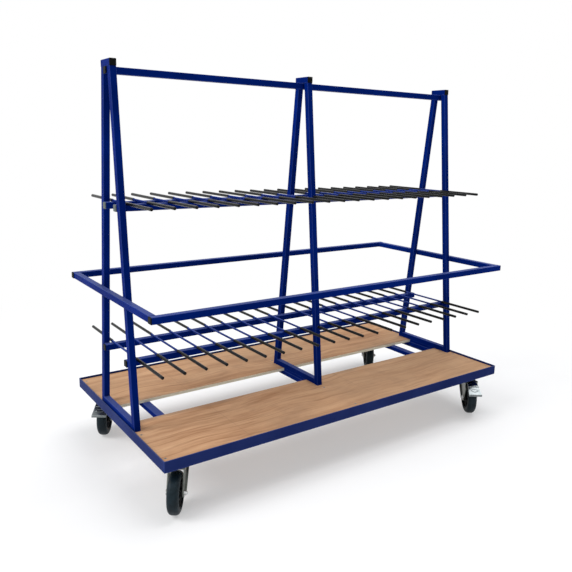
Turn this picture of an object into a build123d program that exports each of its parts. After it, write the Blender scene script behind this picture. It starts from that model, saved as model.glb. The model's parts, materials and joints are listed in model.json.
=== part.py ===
from build123d import *
import os
from math import asin, atan2, cos, degrees, hypot, radians, sin

# Profile storage trolley: a wheeled base with two plywood decks, three A-frames, two racks of
# sleeved divider rods, a guard hoop at mid height and four swivel casters, two of them with brakes.
# Millimetres. The origin is on the floor under the middle of the whole outline. The front casters reach
# out past the base, so the base's own middle is a little behind it, at middle_y.
# X runs along the trolley, Y from its front to its rear, Z up.

# Base: folded angles with the upright leg outside and the flange at the bottom
base_length = 2090.0
base_width = 1080.0
angle_height = 55.0
angle_flange = 45.0
angle_wall = 5.0
angle_bend = 12.0
base_corner = 5.0

# Decks: two plywood boards with an open gap between them
ply_thickness = 15.0
deck_recess = 10.0
deck_gap = 212.0
deck_clearance = 1.0
screw_radius = 2.5
screw_head_radius = 5.0
screw_head_height = 2.5
screw_grip = 8.0
screw_edge = 38.0
screw_from_gap = 141.0

# Square tube of the frames, rails and hoop
tube = 30.0
tube_wall = 2.0
tube_corner = 3.0

# Beams across the base
beam_width = 40.0
beam_wall = 2.0
beam_inset = 196.0
packer_width = 26.0
packer_clearance = 1.0

# A-frames
overall_height = 1855.0
frame_inset = 25.0
leg_spread = 390.0
leg_spread_top = 73.0
top_tube_length = 100.0

# Racks of divider rods
rod_diameter = 10.0
rod_first = 93.0
rod_last = 27.0
rods_per_bay = 10
upper_rod_height = 1258.0
upper_rod_inset = 187.0
lower_rod_height = 580.0
lower_rod_inset = 112.0
sleeve_diameter = 14.0
sleeve_end = 1.5
sleeve_fit = 0.05
sleeve_gap = 3.0
sleeve_bevel = 1.6
weld_gap = 0.1

# Guard hoop
hoop_inset = 40.0
hoop_top = 862.0

# Plastic end caps of the tubes
cap_rim = 2.0
cap_crown = 2.5
cap_taper = 40.0
cap_plug = 12.0
cap_fit = 0.2

# Casters
caster_height = 213.0
caster_end_inset = 110.0
caster_side_inset = 105.0
caster_turn = {"front_left": -126.0, "rear_left": -122.0, "front_right": -126.0, "rear_right": -124.0}
brake_casters = ("rear_left", "front_right")
pad_thickness = 6.0
pad_length = 190.0
pad_width = 150.0
pad_inset = 20.0
plate_length = 140.0
plate_width = 110.0
plate_thickness = 6.0
plate_corner = 10.0
bolt_spacing_x = 105.0
bolt_spacing_y = 80.0
bolt_radius = 5.0
bolt_hole_radius = 5.5
bolt_hex = 9.6
bolt_head = 6.4
nut_height = 8.0
race_radius = 44.0
race_bottom = 193.3
swivel_gap = 0.3
kingpin_radius = 6.0
kingpin_head_radius = 11.0
kingpin_head = 6.0
running_fit = 0.05
trail = 58.0
fork_inside = 62.0
fork_wall = 5.0
crown_front = -46.0
crown_back = 40.0
brake_crown_back = 60.0
crown_bottom = 184.0
crown_thickness = 5.0
head_radius = 42.0
fork_flange = 7.0
axle_eye = 20.0
axle_radius = 6.0
axle_hex = 11.0
axle_head = 5.0
axle_nut = 8.0
nut_dome_radius = 8.0
nut_dome = 6.0
nut_dome_round = 5.0

# Wheels
wheel_radius = 90.0
tyre_width = 50.0
tyre_inside = 65.0
tyre_shoulder = 18.0
rim_width = 44.0
rim_thickness = 7.0
web_thickness = 12.0
boss_radius = 20.0
boss_gap = 1.0
bush_radius = 10.0
bush_length = 14.0

# Brake pedals
pin_back = 72.0
pin_height = 189.0
pin_radius = 4.0
pin_head_radius = 6.0
pin_head = 3.0
ear_radius = 8.0
bracket_back = 92.0
bracket_height = 150.0
pedal_eye = 6.5
pedal_rise = 6.0
pedal_bend_back = 122.0
pedal_bend_height = 187.0
pedal_tip_back = 184.0
pedal_tip_height = 155.0
pedal_lip = 10.0
pedal_bend_radius = 6.0
pedal_root = 50.0
pedal_flare = 88.0
pedal_width = 72.0
pedal_thickness = 4.0
cheek_start = 94.0
cheek_root = 6.0
cheek_depth = 14.0
rib_back = 130.0
rib_radius = 5.0
rib_rise = 2.5

# Heights and places that follow from the sizes above
base_bottom = caster_height + pad_thickness
flange_top = base_bottom + angle_wall
deck_top = base_bottom + angle_height - deck_recess
deck_bottom = deck_top - ply_thickness
beam_height = deck_bottom - flange_top
beam_length = base_width - 2 * angle_bend
beam_x = base_length / 2 - beam_inset
end_beam_x = base_length / 2 - angle_bend - tube / 2
leg_top = overall_height - tube
leg_rise = leg_top - deck_top
leg_run = (leg_spread - leg_spread_top) / 2
leg_length = hypot(leg_rise, leg_run)
leg_half = tube / 2 * leg_length / leg_rise
frame_spacing = base_length / 2 - frame_inset
frame_x = (-frame_spacing, 0.0, frame_spacing)
frame_end = frame_spacing + tube / 2
hoop_end = frame_end + tube
hoop_width = base_width - 2 * hoop_inset
hoop_z = hoop_top - tube / 2
hoop_y = hoop_width / 2 - tube / 2
rod_radius = rod_diameter / 2
sleeve_radius = sleeve_diameter / 2
upper_rod_length = base_width - 2 * upper_rod_inset
lower_rod_length = base_width - 2 * lower_rod_inset
rod_pitch = (frame_spacing - rod_first - rod_last) / (rods_per_bay - 1)
rod_x = [side * (rod_first + rod_pitch * i) for side in (-1, 1) for i in range(rods_per_bay)]
caster_x = base_length / 2 - caster_end_inset
caster_y = base_width / 2 - caster_side_inset
front_turn = radians(caster_turn["front_right"])
front_reach = caster_y + pedal_tip_back * abs(sin(front_turn)) + pedal_width / 2 * abs(cos(front_turn))
middle_y = (front_reach - base_width / 2) / 2


def leg_y(z):
    return leg_spread / 2 - (z - deck_top) * leg_run / leg_rise


def rail_y(z):
    # Centre of a rack rail at height z, with its rounded top corner against the leg's inner face
    reach = (tube / 2 - tube_corner) * (1 + leg_run / leg_rise) + tube_corner * leg_length / leg_rise
    return leg_y(z) - leg_half - reach - weld_gap


def spot(x, y, z):
    # A point given from the middle of the base
    return Vector(x, middle_y + y, z)


def level(z):
    return Plane(origin=spot(0, 0, z), x_dir=(1, 0, 0), z_dir=(0, 0, 1))


def along_x(x, y, z):
    return Plane(origin=spot(x, y, z), x_dir=(0, 1, 0), z_dir=(1, 0, 0))


def along_y(x, y, z):
    return Plane(origin=spot(x, y, z), x_dir=(-1, 0, 0), z_dir=(0, 1, 0))


def facing_front(y):
    return Plane(origin=spot(0, y, 0), x_dir=(1, 0, 0), z_dir=(0, -1, 0))


def tube_section(width=tube, height=tube, wall=tube_wall):
    RectangleRounded(width, height, tube_corner)
    inner_corner = max(tube_corner - wall, 0.4)
    RectangleRounded(width - 2 * wall, height - 2 * wall, inner_corner, mode=Mode.SUBTRACT)


def save(piece, name):
    piece.part.label = name
    export_step(piece.part, f"parts/{name}.step")


os.makedirs("parts", exist_ok=True)

# Base angles, each mitred at both corners
corner_x = base_length / 2
corner_y = base_width / 2
base_sides = {
    "base_front_angle": ((-corner_x, -corner_y), (1, 0), (0, 1), base_length),
    "base_right_angle": ((corner_x, -corner_y), (0, 1), (-1, 0), base_width),
    "base_rear_angle": ((corner_x, corner_y), (-1, 0), (0, -1), base_length),
    "base_left_angle": ((-corner_x, corner_y), (0, -1), (1, 0), base_width),
}
bend_inside = angle_bend - angle_wall
bend_middle = angle_bend * (1 - cos(radians(45)))
bend_inside_middle = angle_bend - bend_inside * cos(radians(45))
for name, (start, along, inward, length) in base_sides.items():
    start_corner = spot(start[0], start[1], base_bottom)
    run = Vector(along[0], along[1], 0)
    in_dir = Vector(inward[0], inward[1], 0)
    with BuildPart() as base_angle:
        with BuildSketch(Plane(origin=start_corner, x_dir=in_dir, z_dir=run)):
            with BuildLine():
                Line((0, angle_height), (0, angle_bend))
                ThreePointArc((0, angle_bend), (bend_middle, bend_middle), (angle_bend, 0))
                Line((angle_bend, 0), (angle_flange, 0))
                Line((angle_flange, 0), (angle_flange, angle_wall))
                Line((angle_flange, angle_wall), (angle_bend, angle_wall))
                ThreePointArc(
                    (angle_bend, angle_wall),
                    (bend_inside_middle, bend_inside_middle),
                    (angle_wall, angle_bend),
                )
                Line((angle_wall, angle_bend), (angle_wall, angle_height))
                Line((angle_wall, angle_height), (0, angle_height))
            make_face()
        extrude(amount=length)
        split(bisect_by=Plane(origin=start_corner, z_dir=run - in_dir), keep=Keep.TOP)
        end_corner = start_corner + run * length
        split(bisect_by=Plane(origin=end_corner, z_dir=-run - in_dir), keep=Keep.TOP)
        with BuildSketch(level(base_bottom)):
            RectangleRounded(base_length, base_width, base_corner)
        extrude(amount=angle_height, mode=Mode.INTERSECT)
    save(base_angle, name)

# Screw places: two screws through each deck into the middle beam and into both end beams
deck_inner = deck_gap / 2
deck_outer = base_width / 2 - angle_wall - deck_clearance
screw_x = (-end_beam_x, 0.0, end_beam_x)
screw_rows = (deck_inner + screw_from_gap, deck_outer - screw_edge)
front_screws = [(x, -y) for x in screw_x for y in screw_rows]
rear_screws = [(x, y) for x in screw_x for y in screw_rows]

# Beams that carry the decks, resting on the base's flanges: two over the casters and one at each end
with BuildPart() as caster_beams:
    for x, width in ((-beam_x, beam_width), (beam_x, beam_width), (-end_beam_x, tube), (end_beam_x, tube)):
        with BuildSketch(along_y(x, -beam_length / 2, flange_top + beam_height / 2)):
            tube_section(width, beam_height, beam_wall)
        extrude(amount=beam_length)
    with BuildSketch(level(deck_bottom)):
        with Locations(*[place for place in front_screws + rear_screws if place[0] != 0]):
            Circle(screw_radius)
    extrude(amount=-beam_wall, mode=Mode.SUBTRACT)
save(caster_beams, "caster_beams")

with BuildPart() as middle_beam:
    with BuildSketch(along_y(0, -beam_length / 2, flange_top + beam_height / 2)):
        tube_section(tube, beam_height, beam_wall)
    extrude(amount=beam_length)
    with BuildSketch(level(deck_bottom)):
        with Locations(*[place for place in front_screws + rear_screws if place[0] == 0]):
            Circle(screw_radius)
    extrude(amount=-beam_wall, mode=Mode.SUBTRACT)
save(middle_beam, "middle_beam")

# Packers in the deck gap, on the beams under the frames' foot tubes
packer_length = deck_gap - 2 * packer_clearance
with BuildPart() as frame_packers:
    with BuildSketch(level(deck_bottom)):
        with Locations(*[(x, 0) for x in frame_x]):
            Rectangle(packer_width, packer_length)
    extrude(amount=ply_thickness)
save(frame_packers, "frame_packers")

# Plywood decks with countersunk screw holes
deck_length = base_length - 2 * angle_wall - 2 * deck_clearance
for name, side, screws in (("deck_front", -1, front_screws), ("deck_rear", 1, rear_screws)):
    with BuildPart() as deck:
        with BuildSketch(level(deck_bottom)):
            with Locations((0, side * (deck_inner + deck_outer) / 2)):
                Rectangle(deck_length, deck_outer - deck_inner)
        extrude(amount=ply_thickness)
        with Locations(*[spot(x, y, deck_top) for x, y in screws]):
            CounterSinkHole(screw_radius, screw_head_radius, ply_thickness, counter_sink_angle=90)
    save(deck, name)

with BuildPart() as deck_screws:
    for x, y in front_screws + rear_screws:
        with BuildSketch(level(deck_bottom - screw_grip)):
            with Locations((x, y)):
                Circle(screw_radius)
        extrude(amount=screw_grip + ply_thickness - screw_head_height)
        with Locations(spot(x, y, deck_top - screw_head_height / 2)):
            Cone(screw_radius, screw_head_radius, screw_head_height)
save(deck_screws, "deck_screws")

# A-frames: inclined legs cut level at the deck and under the top tubes
for frame_name, x in zip(("left", "middle", "right"), frame_x):
    for leg_name, side in (("front", -1), ("rear", 1)):
        foot = spot(x, side * leg_spread / 2, deck_top)
        up = Vector(0, -side * leg_run, leg_rise).normalized()
        with BuildPart() as leg:
            with BuildSketch(Plane(origin=foot - up * tube, x_dir=(1, 0, 0), z_dir=up)):
                tube_section()
            extrude(amount=leg_length + 2 * tube)
            split(bisect_by=Plane.XY.offset(deck_top), keep=Keep.TOP)
            split(bisect_by=Plane.XY.offset(leg_top), keep=Keep.BOTTOM)
        save(leg, f"{frame_name}_{leg_name}_leg")

# Foot tubes between the legs, cut to the slope of the legs' inner faces
with BuildPart() as foot_tubes:
    for x in frame_x:
        with BuildSketch(along_y(x, -leg_spread / 2, deck_top + tube / 2)):
            tube_section()
        extrude(amount=leg_spread)
    for side in (-1, 1):
        inner_edge = spot(0, side * (leg_y(deck_top) - leg_half), deck_top)
        split(bisect_by=Plane(origin=inner_edge, z_dir=(0, -side * leg_rise, -leg_run)), keep=Keep.TOP)
save(foot_tubes, "foot_tubes")

with BuildPart() as top_tubes:
    for x in frame_x:
        with BuildSketch(along_y(x, -top_tube_length / 2, leg_top + tube / 2)):
            tube_section()
        extrude(amount=top_tube_length)
save(top_tubes, "top_tubes")

# Rails along the trolley: the top rail under the top tubes, and two rails for each rack
upper_rail_z = upper_rod_height - rod_radius - weld_gap - tube / 2
lower_rail_z = lower_rod_height - rod_radius - weld_gap - tube / 2
top_rail_z = leg_top - tube / 2
rails = {
    "top_rail": (0.0, top_rail_z),
    "upper_front_rail": (-rail_y(upper_rail_z), upper_rail_z),
    "upper_rear_rail": (rail_y(upper_rail_z), upper_rail_z),
    "lower_front_rail": (-rail_y(lower_rail_z), lower_rail_z),
    "lower_rear_rail": (rail_y(lower_rail_z), lower_rail_z),
}
for name, (y, z) in rails.items():
    with BuildPart() as rail:
        with BuildSketch(along_x(-frame_end, y, z)):
            tube_section()
        extrude(amount=2 * frame_end)
    save(rail, name)

# Divider rods and their sleeves. At the middle frame each rod is two stubs on the legs' outer faces.
racks = {
    "upper": (upper_rod_height, upper_rod_length, upper_rail_z),
    "lower": (lower_rod_height, lower_rod_length, lower_rail_z),
}
for rack, (z, length, rail_z) in racks.items():
    stub_start = leg_y(z - rod_radius) + leg_half + weld_gap
    rod_end = length / 2
    sleeve_tip = rod_end + sleeve_end
    sleeve_start = rail_y(rail_z) + tube / 2 + sleeve_gap
    with BuildPart() as rods:
        with BuildSketch(facing_front(-rod_end)):
            with Locations(*[(x, z) for x in rod_x]):
                Circle(rod_radius)
        extrude(amount=-length)
        for side in (-1, 1):
            with BuildSketch(facing_front(-side * rod_end)):
                with Locations((0, z)):
                    Circle(rod_radius)
            extrude(amount=-side * (rod_end - stub_start))
    save(rods, f"{rack}_rods")

    with BuildPart() as sleeves:
        rod_places = [(x, z) for x in rod_x]
        for side in (-1, 1):
            for places, start in ((rod_places, sleeve_start), ([(0, z)], stub_start + sleeve_gap)):
                with BuildSketch(facing_front(-side * sleeve_tip)):
                    with Locations(*places):
                        Circle(sleeve_radius)
                extrude(amount=-side * (sleeve_tip - start))
                with BuildSketch(facing_front(-side * (rod_end + sleeve_fit))):
                    with Locations(*places):
                        Circle(rod_radius + sleeve_fit)
                extrude(amount=-side * (rod_end + sleeve_fit - start), mode=Mode.SUBTRACT)
        chamfer(sleeves.edges().filter_by(GeomType.CIRCLE).group_by(Axis.Y)[0], sleeve_bevel)
        chamfer(sleeves.edges().filter_by(GeomType.CIRCLE).group_by(Axis.Y)[-1], sleeve_bevel)
    save(sleeves, f"{rack}_sleeves")

# Guard hoop: long tubes with the end tubes between them, against the end frames' outer faces
for name, side in (("hoop_front_tube", -1), ("hoop_rear_tube", 1)):
    with BuildPart() as hoop_tube:
        with BuildSketch(along_x(-hoop_end, side * hoop_y, hoop_z)):
            tube_section()
        extrude(amount=2 * hoop_end)
    save(hoop_tube, name)
hoop_inside = hoop_width - 2 * tube
for name, side in (("hoop_left_tube", -1), ("hoop_right_tube", 1)):
    with BuildPart() as hoop_tube:
        with BuildSketch(along_y(side * (frame_end + tube / 2), -hoop_inside / 2, hoop_z)):
            tube_section()
        extrude(amount=hoop_inside)
    save(hoop_tube, name)

# Plastic caps in every open tube end, all alike
cap_places = []
for side in (-1, 1):
    for y, z in rails.values():
        rail_end = spot(side * frame_end, y, z)
        cap_places.append(Plane(origin=rail_end, x_dir=(0, 1, 0), z_dir=(side, 0, 0)))
    for y in (-hoop_y, hoop_y):
        long_end = spot(side * hoop_end, y, hoop_z)
        cap_places.append(Plane(origin=long_end, x_dir=(0, 1, 0), z_dir=(side, 0, 0)))
    for x in frame_x:
        top_end = spot(x, side * top_tube_length / 2, leg_top + tube / 2)
        cap_places.append(Plane(origin=top_end, x_dir=(1, 0, 0), z_dir=(0, side, 0)))
plug_size = tube - 2 * tube_wall - 2 * cap_fit
with BuildPart() as tube_end_caps:
    for place in cap_places:
        with BuildSketch(place):
            RectangleRounded(tube, tube, tube_corner)
        extrude(amount=cap_rim)
        with BuildSketch(place.offset(cap_rim)):
            RectangleRounded(tube, tube, tube_corner)
        extrude(amount=cap_crown, taper=cap_taper)
        with BuildSketch(place):
            RectangleRounded(plug_size, plug_size, tube_corner)
        extrude(amount=-cap_plug)
save(tube_end_caps, "tube_end_caps")

# Pad plates under the base's corners, with the casters' plates, kingpins and bolts
caster_spots = {
    "front_left": (-caster_x, -caster_y),
    "rear_left": (-caster_x, caster_y),
    "front_right": (caster_x, -caster_y),
    "rear_right": (caster_x, caster_y),
}
plate_bottom = caster_height - plate_thickness
bolt_offsets = [(i * bolt_spacing_x / 2, j * bolt_spacing_y / 2) for i in (-1, 1) for j in (-1, 1)]
bolt_spots = [(x + i, y + j) for x, y in caster_spots.values() for i, j in bolt_offsets]
pad_x = corner_x - pad_inset - pad_length / 2
pad_y = corner_y - pad_inset - pad_width / 2
with BuildPart() as caster_pads:
    with BuildSketch(level(caster_height)):
        with GridLocations(2 * pad_x, 2 * pad_y, 2, 2):
            Rectangle(pad_length, pad_width)
        with Locations(*bolt_spots):
            Circle(bolt_hole_radius, mode=Mode.SUBTRACT)
    extrude(amount=pad_thickness)
save(caster_pads, "caster_pads")

with BuildPart() as caster_plates:
    with BuildSketch(level(plate_bottom)):
        with Locations(*caster_spots.values()):
            RectangleRounded(plate_length, plate_width, plate_corner)
        with Locations(*bolt_spots):
            Circle(bolt_hole_radius, mode=Mode.SUBTRACT)
    extrude(amount=plate_thickness)
    with BuildSketch(level(race_bottom)):
        with Locations(*caster_spots.values()):
            Circle(race_radius)
    extrude(amount=plate_bottom - race_bottom)
    with BuildSketch(level(race_bottom)):
        with Locations(*caster_spots.values()):
            Circle(kingpin_radius)
    extrude(amount=caster_height - race_bottom, mode=Mode.SUBTRACT)
save(caster_plates, "caster_plates")

with BuildPart() as kingpins:
    kingpin_bottom = crown_bottom - swivel_gap - kingpin_head
    with BuildSketch(level(kingpin_bottom)):
        with Locations(*caster_spots.values()):
            Circle(kingpin_head_radius)
    extrude(amount=kingpin_head)
    with BuildSketch(level(kingpin_bottom)):
        with Locations(*caster_spots.values()):
            Circle(kingpin_radius)
    extrude(amount=caster_height - kingpin_bottom)
save(kingpins, "kingpins")

with BuildPart() as caster_bolts:
    with BuildSketch(level(base_bottom)):
        with Locations(*bolt_spots):
            RegularPolygon(bolt_hex, 6)
    extrude(amount=bolt_head)
    with BuildSketch(level(plate_bottom - nut_height)):
        with Locations(*bolt_spots):
            RegularPolygon(bolt_hex, 6)
    extrude(amount=nut_height)
    with BuildSketch(level(plate_bottom - nut_height)):
        with Locations(*bolt_spots):
            Circle(bolt_radius)
    extrude(amount=base_bottom - plate_bottom + nut_height)
save(caster_bolts, "caster_bolts")

# Swivel casters: fork, axle and wheel, turned to the way each one trails
fork_width = fork_inside + 2 * fork_wall
crown_top = crown_bottom + crown_thickness
head_height = race_bottom - swivel_gap - crown_top
edge_reach = hypot(trail - crown_front, crown_bottom - wheel_radius)
edge_turn = atan2(crown_bottom - wheel_radius, trail - crown_front) + asin(axle_eye / edge_reach)
edge_length = (edge_reach**2 - axle_eye**2) ** 0.5
for name, (x, y) in caster_spots.items():
    braked = name in brake_casters
    turn = radians(caster_turn[name])
    seat = Plane(origin=spot(x, y, 0), x_dir=(cos(turn), sin(turn), 0), z_dir=(0, 0, 1))
    axle_dir = seat.y_dir
    axle_middle = seat.from_local_coords((trail, 0, wheel_radius))
    # In this plane x runs the way the caster trails and y runs up
    side_planes = {}
    for across in (fork_width / 2, -fork_width / 2, pedal_root / 2, pedal_width / 2):
        side_origin = seat.from_local_coords((0, across, 0))
        side_planes[across] = Plane(origin=side_origin, x_dir=seat.x_dir, z_dir=-axle_dir)

    # Legs with an outward flange along the leading edge; the braked casters' legs also carry the pedal's pin
    back = brake_crown_back if braked else crown_back
    with BuildPart() as fork:
        for side in (1, -1):
            with BuildSketch(side_planes[side * fork_width / 2]):
                with Locations((trail, wheel_radius)):
                    Circle(axle_eye)
                with Locations(((crown_front + back) / 2, crown_bottom + crown_thickness / 2)):
                    Rectangle(back - crown_front, crown_thickness)
                make_hull()
            extrude(amount=side * fork_wall)
            if braked:
                with BuildSketch(side_planes[side * fork_width / 2]):
                    with Locations((trail, wheel_radius)):
                        Circle(axle_eye)
                    with Locations((pin_back, pin_height), (bracket_back, bracket_height)):
                        Circle(ear_radius)
                    make_hull()
                extrude(amount=side * fork_wall)
            with BuildSketch(side_planes[side * fork_width / 2]):
                with Locations(Location((crown_front, crown_bottom, 0), (0, 0, -degrees(edge_turn)))):
                    Rectangle(edge_length, fork_wall, align=(Align.MIN, Align.MIN))
            extrude(amount=-side * fork_flange)
        with BuildSketch(seat.offset(crown_bottom)):
            with Locations(((crown_front + back) / 2, 0)):
                Rectangle(back - crown_front, fork_inside)
        extrude(amount=crown_thickness)
        with BuildSketch(seat.offset(crown_top)):
            Circle(head_radius)
        extrude(amount=head_height)
        with BuildSketch(seat.offset(crown_bottom)):
            Circle(kingpin_radius + running_fit)
        extrude(amount=crown_thickness + head_height, mode=Mode.SUBTRACT)
        with BuildSketch(side_planes[fork_width / 2]):
            with Locations((trail, wheel_radius)):
                Circle(axle_radius)
            if braked:
                with Locations((pin_back, pin_height)):
                    Circle(pin_radius)
        extrude(amount=fork_width, mode=Mode.SUBTRACT)
    save(fork, f"{name}_fork")

    with BuildPart() as axle:
        axle_plane = Plane(origin=axle_middle - axle_dir * fork_width / 2, x_dir=seat.x_dir, z_dir=axle_dir)
        with BuildSketch(axle_plane):
            Circle(axle_radius)
        extrude(amount=fork_width + axle_nut)
        with BuildSketch(axle_plane):
            RegularPolygon(axle_hex, 6)
        extrude(amount=-axle_head)
        with BuildSketch(axle_plane.offset(fork_width)):
            RegularPolygon(axle_hex, 6)
        extrude(amount=axle_nut)
        with BuildSketch(axle_plane.offset(fork_width + axle_nut)):
            Circle(nut_dome_radius)
        extrude(amount=nut_dome)
        dome_edges = axle.edges().filter_by(GeomType.CIRCLE).sort_by(Axis(axle_middle, axle_dir))
        fillet(dome_edges[-1], nut_dome_round)
    save(axle, f"{name}_axle")

    # In this plane x runs along the axle and y runs up from its middle
    wheel_plane = Plane(origin=axle_middle, x_dir=axle_dir, z_dir=seat.x_dir)
    wheel_axis = Axis(axle_middle, axle_dir)
    with BuildPart() as tyre:
        with BuildSketch(wheel_plane) as tyre_section:
            with Locations((0, (tyre_inside + wheel_radius) / 2)):
                Rectangle(tyre_width, wheel_radius - tyre_inside)
            fillet(tyre_section.vertices().group_by(Axis.Y)[-1], tyre_shoulder)
        revolve(axis=wheel_axis)
    save(tyre, f"{name}_tyre")

    boss_length = fork_inside - 2 * boss_gap
    rim_inside = tyre_inside - rim_thickness
    with BuildPart() as hub:
        with BuildSketch(wheel_plane):
            with Locations((0, (tyre_inside + rim_inside) / 2)):
                Rectangle(rim_width, rim_thickness)
            with Locations((0, (rim_inside + bush_radius) / 2)):
                Rectangle(web_thickness, rim_inside - bush_radius)
            with Locations((0, (boss_radius + bush_radius) / 2)):
                Rectangle(boss_length, boss_radius - bush_radius)
        revolve(axis=wheel_axis)
    save(hub, f"{name}_hub")

    with BuildPart() as bushes:
        with BuildSketch(wheel_plane):
            with Locations(*[(i * (boss_length - bush_length) / 2, 0) for i in (-1, 1)]):
                bush_middle = (bush_radius + axle_radius + running_fit) / 2
                with Locations((0, bush_middle)):
                    Rectangle(bush_length, bush_radius - axle_radius - running_fit)
        revolve(axis=wheel_axis)
    save(bushes, f"{name}_bushes")

    if braked:
        with BuildPart() as pedal_pin:
            pin_start = seat.from_local_coords((pin_back, -fork_width / 2, pin_height))
            pin_plane = Plane(origin=pin_start, x_dir=seat.x_dir, z_dir=axle_dir)
            with BuildSketch(pin_plane):
                Circle(pin_radius)
            extrude(amount=fork_width)
            with BuildSketch(pin_plane, pin_plane.offset(fork_width + pin_head)):
                Circle(pin_head_radius)
            extrude(amount=-pin_head)
        save(pedal_pin, f"{name}_pedal_pin")

        # Pressed tread: bent over the wheel, widening to its lip, with a cheek turned down along each side
        with BuildPart() as pedal:
            with BuildSketch(side_planes[pedal_width / 2]):
                with BuildLine():
                    FilletPolyline(
                        (pin_back, pin_height + pedal_rise),
                        (pedal_bend_back, pedal_bend_height),
                        (pedal_tip_back, pedal_tip_height),
                        (pedal_tip_back, pedal_tip_height - pedal_lip),
                        radius=pedal_bend_radius,
                    )
                    offset(amount=pedal_thickness, side=Side.RIGHT)
                make_face()
            extrude(amount=pedal_width)
            tread_fall = (pedal_bend_height - pedal_tip_height) / (pedal_tip_back - pedal_bend_back)
            rib_seat = pedal_bend_height - tread_fall * (rib_back - pedal_bend_back)
            rib_height = rib_seat + rib_rise - rib_radius
            with BuildSketch(side_planes[pedal_width / 2]):
                with Locations((rib_back, rib_height)):
                    Circle(rib_radius)
            extrude(amount=pedal_width)
            with BuildSketch(seat.offset(pedal_tip_height - cheek_depth)):
                with BuildLine():
                    Polyline(
                        (pin_back - ear_radius, -pedal_root / 2),
                        (pedal_flare, -pedal_root / 2),
                        (pedal_tip_back, -pedal_width / 2),
                        (pedal_tip_back, pedal_width / 2),
                        (pedal_flare, pedal_root / 2),
                        (pin_back - ear_radius, pedal_root / 2),
                        close=True,
                    )
                make_face()
            extrude(amount=pin_height, mode=Mode.INTERSECT)
            for side in (-1, 1):
                flare_start = seat.from_local_coords((pedal_flare, side * pedal_root / 2, 0))
                flare_end = seat.from_local_coords((pedal_tip_back, side * pedal_width / 2, 0))
                flare = flare_end - flare_start
                stretch = flare.length / (pedal_tip_back - pedal_flare)
                half = pedal_thickness / 2
                root_height = pin_height + pedal_rise - half
                fall = (pin_height + pedal_rise - pedal_bend_height) / (pedal_bend_back - pin_back)
                start_height = root_height - fall * (cheek_start - pin_back)
                cheek_points = [
                    (cheek_start, start_height),
                    (pedal_bend_back, pedal_bend_height - half),
                    (pedal_tip_back - half, pedal_tip_height - half + tread_fall * half),
                    (pedal_tip_back - half, pedal_tip_height - pedal_lip),
                    (pedal_bend_back, pedal_bend_height - half - cheek_depth),
                    (cheek_start, start_height - cheek_root),
                ]
                with BuildSketch(Plane(origin=flare_start, x_dir=flare, z_dir=flare.cross(seat.z_dir))):
                    with BuildLine():
                        Polyline(*[((u - pedal_flare) * stretch, z) for u, z in cheek_points], close=True)
                    make_face()
                extrude(amount=side * pedal_thickness)
            with BuildSketch(side_planes[pedal_root / 2]):
                with Locations((pin_back, pin_height)):
                    Circle(pedal_eye)
            extrude(amount=pedal_root)
            with BuildSketch(side_planes[pedal_root / 2]):
                with Locations((pin_back, pin_height)):
                    Circle(pin_radius + running_fit)
            extrude(amount=pedal_root, mode=Mode.SUBTRACT)
        save(pedal, f"{name}_pedal")
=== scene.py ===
import json
import math

import bpy
import bmesh
from mathutils import Matrix, Vector


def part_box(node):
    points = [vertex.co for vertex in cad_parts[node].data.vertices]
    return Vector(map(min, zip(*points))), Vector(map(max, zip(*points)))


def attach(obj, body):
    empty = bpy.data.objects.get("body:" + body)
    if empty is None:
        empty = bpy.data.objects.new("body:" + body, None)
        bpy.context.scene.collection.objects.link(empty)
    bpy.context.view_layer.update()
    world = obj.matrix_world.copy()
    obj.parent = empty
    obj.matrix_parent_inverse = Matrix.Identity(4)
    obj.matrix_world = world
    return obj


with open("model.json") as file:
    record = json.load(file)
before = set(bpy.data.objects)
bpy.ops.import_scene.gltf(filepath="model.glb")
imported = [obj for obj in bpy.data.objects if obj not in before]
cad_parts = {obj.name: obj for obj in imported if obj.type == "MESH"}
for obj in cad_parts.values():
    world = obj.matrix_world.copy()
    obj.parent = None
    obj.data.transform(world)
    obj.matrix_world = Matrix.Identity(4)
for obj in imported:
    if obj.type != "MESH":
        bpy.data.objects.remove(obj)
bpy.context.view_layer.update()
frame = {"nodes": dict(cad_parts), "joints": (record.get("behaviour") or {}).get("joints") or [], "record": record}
nodes = frame["nodes"]
midY = (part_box("deck_front")[0][1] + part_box("deck_rear")[1][1]) / 2     # middle of the base
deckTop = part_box("deck_front")[1][2]
print("trolley frame loaded:", len(nodes), "nodes")

# camera
cameraSet = {
    "lens": 39.62,
    "sensor": 36.0,
    "place": (-1.9883, -2.6518, 1.5288),
    "turn": (78.5385, -1.181, -35.1606),
    "shift": (-0.0020, -0.0279),
    "clip": (0.05, 200.0),
}


def addCamera():
    data = bpy.data.cameras.new("photoCamera")
    data.lens = cameraSet["lens"]
    data.sensor_width = cameraSet["sensor"]
    data.shift_x, data.shift_y = cameraSet["shift"]
    data.clip_start, data.clip_end = cameraSet["clip"]
    camera = bpy.data.objects.new("photoCamera", data)
    camera.location = cameraSet["place"]
    camera.rotation_euler = [math.radians(a) for a in cameraSet["turn"]]
    bpy.context.scene.collection.objects.link(camera)
    bpy.context.scene.camera = camera


addCamera()
print("camera placed")

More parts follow.
